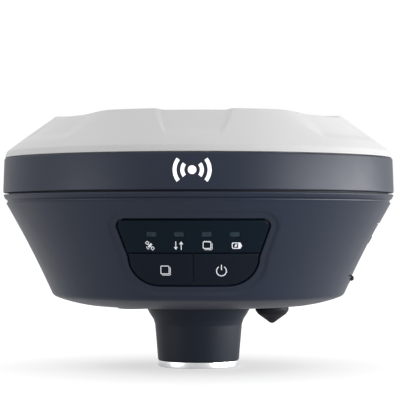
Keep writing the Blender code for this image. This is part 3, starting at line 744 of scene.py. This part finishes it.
def keypad_depths():
    """The keypad lies in a shallow recess with a soft rim."""
    edge = EDGE_DEPTHS + [0.0] * (len(KEYPAD_GROWS) - len(EDGE_DEPTHS))
    return [e + RECESS_DEPTH * (1.0 - smooth(g, 3.2, 4.7)) for e, g in zip(edge, KEYPAD_GROWS)]


def housing_skin():
    """(points, faces) of the cone with its keypad recess, keypad window and doorway, and the wall behind."""
    windows = [
        (window_rows(keypad_outline, KEYPAD_GROWS, FRONT), keypad_depths()),
        (window_rows(doorway_outline, DOOR_GROWS, RIGHT), EDGE_DEPTHS),
    ]
    half, rows = pi * DEVELOPED, 24
    low, high = CONE_LOW_Z, CONE_TOP_Z
    across = [-half + i * 2 * half / COLUMNS for i in range(COLUMNS + 1)]
    up = [low + (high - low) * j / rows for j in range(rows + 1)]
    border_loop = [(x, low) for x in across] + [(half, z) for z in up[1:-1]]
    border_loop += [(x, high) for x in reversed(across)] + [(-half, z) for z in reversed(up[1:-1])]
    fill = [(x, z) for x in across[1:-1] for z in up[1:-1]]
    rims = [loops[-1] for loops, _ in windows]
    flat, _, faces = triangulated(
        [border_loop, *rims], fill, lambda p: not any(inside(p, rim) for rim in rims)
    )
    plan, depths = list(flat), [0.0] * len(flat)
    walls = []
    for loops, window_depths in windows:
        start, count = len(plan), len(loops[0])
        for loop, depth in zip(loops, window_depths):
            plan += loop
            depths += [depth] * count
        faces += [tuple(start + i for i in face) for face in strips(loops)]
        walls += [(start + i, start + (i + 1) % count) for i in range(count)]
    total = len(plan)
    outer = [cone_place(FRONT + x / DEVELOPED, z, depth) for (x, z), depth in zip(plan, depths)]
    inner = [cone_place(FRONT + x / DEVELOPED, z, WALL) for x, z in plan]
    backs = [tuple(i + total for i in reversed(face)) for face in faces]
    return outer + inner, faces + backs + [(a, b, b + total, a + total) for a, b in walls]


def foot_arc(radius, count):
    """The rounding between the cone and the dish."""
    tilt = cone_angle(CONE_LOW_Z)
    centre = (cone_radius(CONE_LOW_Z) - FOOT_ROUND * cos(tilt), CONE_LOW_Z + FOOT_ROUND * sin(tilt))
    return arc(centre, radius, -degrees(tilt), -70.0, count)


def make_housing():
    points, faces = housing_skin()

    def add(new_points, new_faces):
        start = len(points)
        points.extend(new_points)
        faces.extend(tuple(i + start for i in face) for face in new_faces)

    inner_top = cone_place(0.0, CONE_TOP_Z, WALL)
    lip = [(inner_top.x, inner_top.z), (90.4, 83.3, 0.2), (93.4, 83.3, 0), (93.4, 83.7, 0), (94.9, 83.7, 0.3)]
    lip += [(95.1, 83.1, 0.5), (94.25, 81.6, 0.9), (93.2, 80.8, 0.6), (93.2, 80.25, 0.5)]
    add(*turned_rows(rounded([*lip, (cone_radius(CONE_TOP_Z), CONE_TOP_Z)], count=5), COLUMNS))
    foot, inner_foot = foot_arc(FOOT_ROUND, 14), foot_arc(FOOT_ROUND - WALL, 8)
    add(*turned_rows(foot, COLUMNS))
    add(*turned_rows(inner_foot, COLUMNS))
    add(*underside(foot[-1], inner_foot[-1]))
    mesh = mesh_of("housing_shell", points, faces, weld=0.004)
    finish_piece("housing_shell", mesh, "housing", DARK, ["lower_housing"], 30.0)
    hinge_parts()
    for index, place in enumerate(SCREW_PLACES):
        outside = [(1.9, BOSS_TOP), (5.2, BOSS_TOP, 0.4), (5.2, 32.7, 0.2), (WELL_R + 0.02, 32.7, 0)]
        profile = rounded([*outside, (WELL_R + 0.02, SCREW_SEAT + 0.4, 0), (1.9, SCREW_SEAT + 0.4)], count=4)
        boss = lathe(f"screw_boss_{index + 1}", profile, "housing", DARK, (), SMALL_SEGMENTS, place, True)


def circle(centre, radius, count=SMALL_SEGMENTS):
    turns = [2 * pi * i / count for i in range(count)]
    return [(centre[0] + radius * cos(t), centre[1] + radius * sin(t)) for t in turns]


def dish_height(x, y):
    return FLOOR_Z + DISH_CURVE * max(0.0, hypot(x, y) - DISH_R) ** 2


def dish_back(x, y):
    """The inner face of the floor, over a point of its outer face."""
    radius = hypot(x, y)
    tilt = atan(2 * DISH_CURVE * max(0.0, radius - DISH_R))
    share = 1.0 - WALL * sin(tilt) / radius
    return (x * share, y * share, dish_height(x, y) + WALL * cos(tilt))


def underside(rim, inner_rim):
    """(points, faces) of the floor, which rises towards its rim, with its wells, port holes and neck hole."""
    wells = [circle(place, WELL_R) for place in SCREW_PLACES]
    holes = [circle(place, radius) for place, radius in FLOOR_HOLES]
    bevels = [circle(place, WELL_R + 0.35) for place in SCREW_PLACES]
    neck = circle((0.0, 0.0), NECK_HOLE_R, COLUMNS)
    loops = [circle((0.0, 0.0), rim[0], COLUMNS), *wells, *holes, neck, *bevels]
    openings = [*wells, *holes, neck]
    fill = []
    for radius in spaced(NECK_HOLE_R + 2.2, rim[0] - 1.2, 26):
        fill += circle((0.0, 0.0), radius, round(radius * 2.2))
    flat, tags, faces = triangulated(loops, fill, lambda p: not any(inside(p, hole) for hole in openings))
    count = len(flat)
    low, deep = [], []
    for (x, y), tag in zip(flat, tags):
        if tag == 0:
            low.append((x, y, rim[1]))
            deep.append((x * inner_rim[0] / rim[0], y * inner_rim[0] / rim[0], inner_rim[1]))
            continue
        in_well = 1 <= tag <= len(wells)
        low.append((x, y, dish_height(x, y) + 0.3 * in_well))
        deep.append((x, y, dish_height(x, y) + WALL) if 1 <= tag <= len(openings) else dish_back(x, y))
    backs = [tuple(i + count for i in reversed(face)) for face in faces]
    walls = [(a, b, b + count, a + count) for a, b in border(faces) if tags[a] == tags[b] and tags[a] > 0]
    return low + deep, faces + backs + walls


def axle_piece(name, profile, body):
    """A profile of (radius, y) turned round the hinge's axis."""
    points, faces = turned_rows(profile, 32, closed=True)
    axis = Matrix.Translation((HINGE_X, 0.0, HINGE_Z)) @ Matrix.Rotation(radians(-90.0), 4, "X")
    mesh = mesh_of(name, [axis @ Vector(p) for p in points], faces, weld=0.002)
    finish_piece(name, mesh, body, DARK)


def hinge_parts():
    """The housing's two hinge ears, and the round pocket behind the door's knuckle."""
    reach = KNUCKLE_HALF + 0.4
    for name, side in (("hinge_ear_front", -1), ("hinge_ear_back", 1)):
        outside = [(1.0, reach), (HINGE_R, reach, 0.2), (HINGE_R, EAR_END, 0.5), (0.0, EAR_END)]
        profile = rounded([*outside, (0.0, EAR_END - 0.2, 0), (1.0, EAR_END - 0.2)], count=5)
        axle_piece(name, [(r, side * y) for r, y in profile], "housing")
    points = []
    turns = [radians(a) for a in spaced(-96.0, -203.0, 16)]
    for turn in turns:
        for grow, y in ((0.0, -reach), (0.0, reach), (0.4, reach), (0.4, -reach)):
            radius = POCKET_R + grow
            points.append((HINGE_X + radius * cos(turn), y, HINGE_Z + radius * sin(turn)))
    last = 4 * (len(turns) - 1)
    faces = [(0, 1, 2, 3), (last + 3, last + 2, last + 1, last)]
    for k in range(0, last, 4):
        faces += [(k + i, k + 4 + i, k + 4 + (i + 1) % 4, k + (i + 1) % 4) for i in range(4)]
    pocket = finish_piece("hinge_pocket", mesh_of("hinge_pocket", points, faces), "housing", DARK)


# ---------------------------------------------------------------- keypad


def keypad_place(x, z, depth):
    return seen_place(x, z, depth, FRONT)


def front_plate(name, outline, body, material, node, thickness, holes=()):
    """A plate of the keypad with a rounded edge."""
    insets = [0.0, 0.05, 0.14, 0.27, 0.42]
    depths = [KEY_DEPTH + d for d in fillet_depths(0.42, insets)]
    loops = alike([outline(inset) for inset in insets], 1.0)
    return slab(name, loops, depths, thickness, keypad_place, body, material, [node], holes)


def lamp_rectangle(x, half_wide, half_tall, corner):
    return rectangle((x - half_wide, LAMP_Z - half_tall), (x + half_wide, LAMP_Z + half_tall), corner, 4)


def front_height(z):
    """Distance up the slope of the front frame, for a height."""
    return (z - FRONT_Z) / cos(cone_angle(FRONT_Z))


def make_keypad():
    name, node = "indicator_plate", "indicator_panel"
    lamp_holes = [[lamp_rectangle(x, 2.45 + g, 1.25 + g, 0.4 + g) for g in (0.0, 0.1)] for x in LAMP_X]
    plate = front_plate(name, panel_outline, "housing", PANEL, node, 2.4, lamp_holes)
    slope = slope_frame(FRONT, FRONT_Z)

    def in_frame(x, v, depth):
        return slope @ Vector((x, v, -depth))

    for name, side in (("page_key", -1), ("power_key", 1)):
        cap = front_plate(f"{name}_cap", lambda inset, s=side: key_outline(s, inset), name, KEYS, name, 2.1)
        stem = circle((side * KEY_X, front_height(KEY_Z)), 1.7)
        tip = circle((side * KEY_X, front_height(KEY_Z)), 1.5)
        plunger = slab(f"{name}_plunger", [stem, tip], [6.7, 6.9], 2.4, in_frame, name, KEYS)
    for index, x in enumerate(LAMP_X):
        node = f"light_pipe_{index + 1}"
        loops = [lamp_rectangle(x, 2.3 - i, 1.1 - i, 0.5 - i) for i in (0.0, 0.12, 0.3)]
        name, depths = f"lamp_window_{index + 1}", [0.70, 0.62, 0.6]
        window = slab(name, loops, depths, 2.6, keypad_place, "housing", LENS, [node], step=1.0)
        lamp_v = front_height(LAMP_Z)
        back = rectangle((x - 2.3, lamp_v - 1.1), (x + 2.3, lamp_v + 1.1), 0.3, 4)
        near = cone_radius(FRONT_Z) - sqrt(cone_radius(FRONT_Z) ** 2 - x**2) + 2.2
        guide = slab(f"light_guide_{index + 1}", [back], [near], 8.6, in_frame, "housing", LENS)
    make_icons()


def shifted(shapes, x, z):
    return [[(x + px, z + pz) for px, pz in shape] for shape in shapes]


def leaning(shapes, degrees_left):
    c, s = cos(radians(degrees_left)), sin(radians(degrees_left))
    return [[(x * c - z * s, x * s + z * c) for x, z in shape] for shape in shapes]


def outline_icon(half_wide, half_tall, width, corner):
    """A rectangle's outline with round corners, as four-sided pieces."""
    outer = rectangle((-half_wide, -half_tall), (half_wide, half_tall), corner, 5)
    reach = (half_wide - width, half_tall - width)
    inner = rectangle((-reach[0], -reach[1]), reach, corner - width * 0.6, 5)
    ends = zip(outer, outer[1:] + outer[:1], inner[1:] + inner[:1], inner)
    return [list(corners) for corners in ends]


def satellite_icon():
    """A small satellite on a slant: a body between two open panels, with a dish at one end."""
    shapes = [[(-0.48, -1.0), (0.48, -1.0), (0.48, 1.15), (-0.48, 1.15)]]
    for side in (-1, 1):
        shapes += stroke([(side * 0.45, 0.0), (side * 1.1, 0.0)], 0.3)
        shapes += shifted(outline_icon(0.72, 0.72, 0.3, 0.3), side * 1.72, 0.0)
    shapes += split_strip(ring_stroke((0.0, -0.75), 0.95, 215.0, 325.0, 0.3, 7))
    return leaning(shapes, -45.0)


def arrows_icon():
    """One arrow down and one up."""
    shapes = []
    for side in (-1, 1):
        x = side * 1.2
        shapes += stroke([(x, -side * 1.8), (x, side * 0.7)], 0.36)
        shapes.append([(x - 0.9, side * 0.6), (x + 0.9, side * 0.6), (x, side * 1.9)])
    return shapes


def sheet_icon(half_wide, half_tall):
    """A sheet with the edge of a second one just behind it, at the right and below."""
    shapes = shifted(outline_icon(half_wide - 0.25, half_tall - 0.25, 0.36, 0.6), -0.25, 0.25)
    right, low = half_wide - 0.12, 0.12 - half_tall
    edge = [(0.8 - half_wide, low), (right - 0.3, low), (right, low + 0.3), (right, half_tall - 0.8)]
    return shapes + stroke(edge, 0.26)


def log_icon():
    """A sheet bound at its top."""
    rings = []
    for x in (-1.35, -0.3, 0.75):
        rings.append([(x - 0.2, 1.55), (x + 0.2, 1.55), (x + 0.2, 2.15), (x - 0.2, 2.15)])
    return sheet_icon(2.15, 1.9) + rings


def battery_icon():
    """A battery on its side, charged at one end."""
    bolt = [(-0.95, -0.55), (-0.1, -0.55), (0.35, 0.55), (-0.5, 0.55)]
    charge = [(0.75, -1.1), (1.75, -1.1), (1.75, 1.1), (0.75, 1.1)]
    tip = [(2.05, -0.45), (2.35, -0.45), (2.35, 0.45), (2.05, 0.45)]
    return outline_icon(2.1, 1.4, 0.36, 0.7) + [bolt, charge, tip]


def power_icon():
    ring = split_strip(ring_stroke((0.0, -0.2), 2.2, 122.0, 418.0, 0.4, 30))
    return ring + stroke([(0.0, 0.3), (0.0, 2.5)], 0.4)


def make_icons():
    shapes = []
    for x, icon in zip(ICON_X, (satellite_icon(), arrows_icon(), log_icon(), battery_icon())):
        shapes += shifted(icon, x, ICON_Z)
    prints("indicator_icons", shapes, keypad_place, "housing", INK, depth=KEY_DEPTH)
    page = shifted(sheet_icon(2.3, 2.2), -KEY_X, KEY_Z)
    prints("page_icon", page, keypad_place, "page_key", INK, depth=KEY_DEPTH)
    prints("power_icon", shifted(power_icon(), KEY_X, KEY_Z), keypad_place, "power_key", INK, depth=KEY_DEPTH)


# ---------------------------------------------------------------- battery door


def door_place(y, z, depth):
    return seen_place(y, z, depth, RIGHT)


def hinge_cut(loop, inset):
    """The door's outline with room for the hinge ears at its lower edge."""
    at = low_side(loop)
    low, high = DOOR_LOW + inset, 45.3 + inset
    near, far = KNUCKLE_HALF - inset, EAR_END + 0.35 + inset
    right = [(far, low), (far, high), (near, high), (near, low)]
    return loop[: at + 1] + right + [(-y, z) for y, z in reversed(right)] + loop[at + 1 :]


def make_door():
    slope = slope_frame(RIGHT, DOOR_HIGH)

    def on_slope(y, v, depth):
        return slope @ Vector((y, v, -depth))

    hole = []
    for grow in (0.0, 0.12):
        low, high = on_slope(0.0, -11.4 - grow, 0.0).z, on_slope(0.0, -4.0 + grow, 0.0).z
        hole.append(rectangle((-5.2 - grow, low), (5.2 + grow, high), 0.6 + grow, 4))
    insets = [0.0, 0.05, 0.14, 0.27, 0.4]
    loops = alike([hinge_cut(door_outline(-inset), inset) for inset in insets], 1.0)
    depths = [0.3 + d for d in fillet_depths(0.4, insets)]
    door = slab("door_panel", loops, depths, 2.0, door_place, "battery_door", DARK, ["battery_door"], [hole])
    half = KNUCKLE_HALF
    profile = rounded([(1.0, -half), (HINGE_R, -half, 0.2), (HINGE_R, half, 0.2), (1.0, half)], count=4)
    axle_piece("door_knuckle", profile, "battery_door")
    foot = [rectangle((-6.8, HINGE_Z + 1.05), (6.8, 45.8), 0.3, 3)]
    slab("door_knuckle_web", foot, [0.5], 1.7, door_place, "battery_door", DARK)

    body = "battery_latch"
    grips = [rectangle((i - 4.8, i - 11.0), (4.8 - i, -6.6 - i), 0.9 - i, 5) for i in (0.0, 0.1, 0.3, 0.55)]
    grip = slab("latch_grip", grips, [0.5, 0.24, 0.08, 0.02], 3.2, on_slope, body, KEYS, [body], step=1.2)
    for index in range(3):
        v = -10.0 + 1.2 * index
        loops = []
        for i in (0.0, 0.12):
            loops.append(rectangle((i - 3.4, v - 0.25 + i), (3.4 - i, v + 0.25 - i), 0.22 - i, 3))
        rib = slab(f"latch_rib_{index + 1}", loops, [0.1, -0.1], 0.4, on_slope, body, KEYS)
    plate = [rectangle((-6.0, -12.2), (6.0, -0.5), 0.6, 4)]
    slab("latch_plate", plate, [2.95], 4.1, on_slope, body, KEYS)


# ---------------------------------------------------------------- neck, ring and underside


def make_neck():
    profile = [(17.0, 29.5), (26.0, 29.5, 0.3), (25.1, 28.0, 1.2), (23.8, 25.7, 3.0), (22.1, 23.1, 3.0)]
    profile += [(21.3, 20.6, 4.0), (19.8, 3.4, 0.25), (11.5, 3.4, 0.2), (11.5, 34.2), (17.0, 34.2)]
    shaft = lathe("neck_shaft", rounded(profile, count=7), "housing", NECK, ["neck"], 128, closed=True)
    ring = finish_piece("pole_socket", socket_mesh(), "housing", STEEL, ["pole_insert"])


def socket_mesh():
    """The steel insert: a barrel, a ring at the foot and a threaded hole that winds up with the azimuth."""
    minor, major, columns, rows_per_turn = 6.85, 8.0, 96, 12
    outside = [(0.0, 38.5), (10.2, 38.5, 0.4), (11.2, 37.5), (11.2, 3.1, 0.1), (19.7, 3.1, 0.35)]
    outside = rounded([*outside, (19.7, 0.0, 0.45), (9.0, 0.0, 0.3), (8.1, 1.0, 0.2)], count=5)
    rows = [circle_row(r, z, columns) for r, z in outside]
    count = round(THREAD_LENGTH / THREAD_PITCH * rows_per_turn)
    for step in range(1, count + 1):
        z = THREAD_START + THREAD_LENGTH * step / count
        fade = smooth(z, THREAD_START, 2 * THREAD_START)
        row = []
        for i in range(columns):
            phase = (z / THREAD_PITCH - i / columns) % 1.0
            groove = smooth(1.0 - abs(2.0 * phase - 1.0), 0.12, 0.88)
            radius = minor + (major - minor) * (groove * fade + 1.0 - fade)
            turn = 2 * pi * i / columns
            row.append((radius * cos(turn), radius * sin(turn), z))
        rows.append(row)
    rows += [circle_row(r, z, columns) for r, z in ((8.4, 16.0), (8.4, 21.0), (0.0, 23.0))]
    return mesh_of("pole_socket", [p for row in rows for p in row], strips(rows), weld=0.002)


def circle_row(radius, z, count):
    return [(x, y, z) for x, y in circle((0.0, 0.0), radius, count)]


def rubber_part(name, profile, body, node, at, closed=False):
    made = lathe(name, rounded(profile, count=6), body, RUBBER, [node], 64, at, closed)


def make_underside():
    cap = [(6.8, 29.5), (7.9, 29.5, 0.2), (8.15, 29.1, 0.3), (8.15, 27.3, 1.2), (6.9, 25.5, 2.2)]
    cap += [(3.1, 22.8, 2.0), (1.2, 21.35, 0.8), (0.0, 20.92), (0.0, 25.2), (4.4, 25.2, 0.2)]
    cap += [(4.4, 28.2), (6.8, 28.2, 0.2)]
    rubber_part("pointed_cap", cap, "antenna_port_cap", "antenna_port_cap", ANTENNA_PORT, closed=True)
    plug = [(0.0, 32.6), (4.6, 32.6, 0.3), (5.2, 31.6, 0.3), (5.2, 28.1, 0.1), (9.0, 28.1, 0.2)]
    plug += [(9.0, 27.3, 0.5), (6.4, 27.3, 0.2), (5.8, 27.55, 0.2), (0.0, 27.55)]
    rubber_part("serial_plug", plug, "serial_port_cap", "serial_port_cap", SERIAL_PORT)
    vent = [(0.0, 34.0), (2.4, 34.0, 0.2), (2.4, 29.5), (4.2, 29.5, 0.2), (4.2, 28.8, 0.4), (1.4, 28.8, 0.1)]
    rubber_part("vent", [*vent, (1.2, 29.2, 0.1), (0.0, 29.2)], "housing", "vent_plug", VENT)

    def below(x, y, depth):
        return Vector((x, y, 29.5 - depth))

    loops = [rectangle((i - 17.0, 30.0 + i), (17.0 - i, 41.0 - i), 1.2 - i, 6) for i in (0.0, 0.12, 0.3)]
    label = slab("blank_label", loops, [0.42, 0.55, 0.6], 0.0, below, "housing", LABEL, ["label_plate"])
    for index, (x, y) in enumerate(SCREW_PLACES):
        housing_screw(f"bottom_screw_{index + 1}", x, y, f"housing_screw_{index + 1}")


def housing_screw(name, x, y, node):
    """A screw with a rounded head and a hexagon socket, seen from below."""
    outside = [(1.5, 43.6), (1.5, 33.6), (2.95, 33.6), (3.0, 32.7), (2.8, 32.2), (2.3, 31.95), (1.75, 31.9)]
    rows = [[(x + px, y + py, z) for px, py in circle((0.0, 0.0), r)] for r, z in outside]
    half = pi / 6
    for z in (31.9, 32.8):
        row = []
        for i in range(SMALL_SEGMENTS):
            turn = 2 * pi * i / SMALL_SEGMENTS
            reach = 1.35 * cos(half) / cos((turn % (2 * half)) - half)
            row.append((x + reach * cos(turn), y + reach * sin(turn), z))
        rows.append(row)
    points = [p for row in rows for p in row]
    ends = [tuple(range(SMALL_SEGMENTS)), tuple(range(len(points) - 1, len(points) - SMALL_SEGMENTS - 1, -1))]
    finish_piece(name, mesh_of(name, points, strips(rows) + ends), "housing", STEEL, [node])


def dress_frame():
    """Gives every CAD node that still shows its finish."""
    finishes = {
        "black_plastic": BLACK,
        "rubber": RUBBER,
        "steel": STEEL,
        "aluminium": ALUMINIUM,
        "circuit_board": CIRCUIT,
        "shield_can": SHIELD,
        "ceramic": CERAMIC,
        "battery_plastic": BATTERY,
    }
    slots = {part["node"]: part["material_slot"] for part in frame["record"]["subparts"]}
    for name, obj in frame["nodes"].items():
        if obj.hide_render:
            continue
        for holder in obj.material_slots:
            holder.material = finishes[slots[name]]


# ---------------------------------------------------------------- floor, light and camera


def make_stage():
    bpy.ops.mesh.primitive_plane_add(size=60.0, location=(0.0, 0.0, -0.0001))
    floor_plane = bpy.context.object
    floor_plane.name = "floor"
    tree = Tree("floor_paint")
    tree.colour(tree.mixed(tree.noise(90.0, 3.0), (0.31, 0.31, 0.31), (0.33, 0.33, 0.33)))
    tree.set("Roughness", 0.9)
    tree.set("Emission Color", (1.0, 1.0, 1.0, 1.0))
    tree.set("Emission Strength", 0.55)
    tree.set("Specular IOR Level", 0.1)
    floor_plane.data.materials.append(tree.material)


def area_light(name, place, size, power):
    """A softbox that faces the receiver."""
    data = bpy.data.lights.new(name, "AREA")
    data.shape = "RECTANGLE"
    data.size, data.size_y = size
    data.energy = power
    lamp = bpy.data.objects.new(name, data)
    lamp.location = place
    lamp.rotation_euler = (Vector((0.0, 0.0, 0.07)) - Vector(place)).to_track_quat("-Z", "Y").to_euler()
    bpy.context.scene.collection.objects.link(lamp)


def make_light():
    """A bright room, a wide softbox at the right and a weak one at the left."""
    world = bpy.data.worlds.new("studio")
    world.use_nodes = True
    nodes, links = world.node_tree.nodes, world.node_tree.links
    split = nodes.new("ShaderNodeSeparateXYZ")
    links.new(nodes.new("ShaderNodeTexCoord").outputs["Generated"], split.inputs["Vector"])
    ramps = []
    for axis, start, end, low, high in (("Y", -0.8, 0.9, ROOM, 1.0), ("Z", 0.1, 0.8, 0.0, 1.1)):
        ramp = nodes.new("ShaderNodeMapRange")
        for key, number in (("From Min", start), ("From Max", end), ("To Min", low), ("To Max", high)):
            ramp.inputs[key].default_value = number
        links.new(split.outputs[axis], ramp.inputs["Value"])
        ramps.append(ramp.outputs["Result"])
    total = nodes.new("ShaderNodeMath")
    total.operation = "ADD"
    for socket, ramp in zip(total.inputs, ramps):
        links.new(ramp, socket)
    links.new(total.outputs["Value"], nodes["Background"].inputs["Strength"])
    nodes["Background"].inputs["Color"].default_value = (1.0, 1.0, 1.0, 1.0)
    bpy.context.scene.world = world
    area_light("softbox", (0.95, -0.15, 0.09), (1.3, 0.16), 18.0)
    area_light("fill_left", (-0.85, -0.45, 0.07), (0.5, 0.12), 2.4)
    bpy.context.scene.view_settings.view_transform = "Standard"


def make_camera():
    distance, yaw, height = 0.871, radians(1.7), 0.069
    data = bpy.data.cameras.new("camera")
    data.sensor_width = 36.0
    data.lens = 159.75
    data.clip_start = 0.01
    camera = bpy.data.objects.new("camera", data)
    camera.location = (distance * sin(yaw), -distance * cos(yaw), height)
    camera.rotation_euler = (radians(90.0 + 0.807), 0.0, yaw - radians(0.048))
    bpy.context.scene.collection.objects.link(camera)
    bpy.context.scene.camera = camera


make_radome()
make_band()
make_mark()
make_housing()
make_keypad()
make_door()
make_neck()
make_underside()
dress_frame()
make_stage()
make_light()
make_camera()
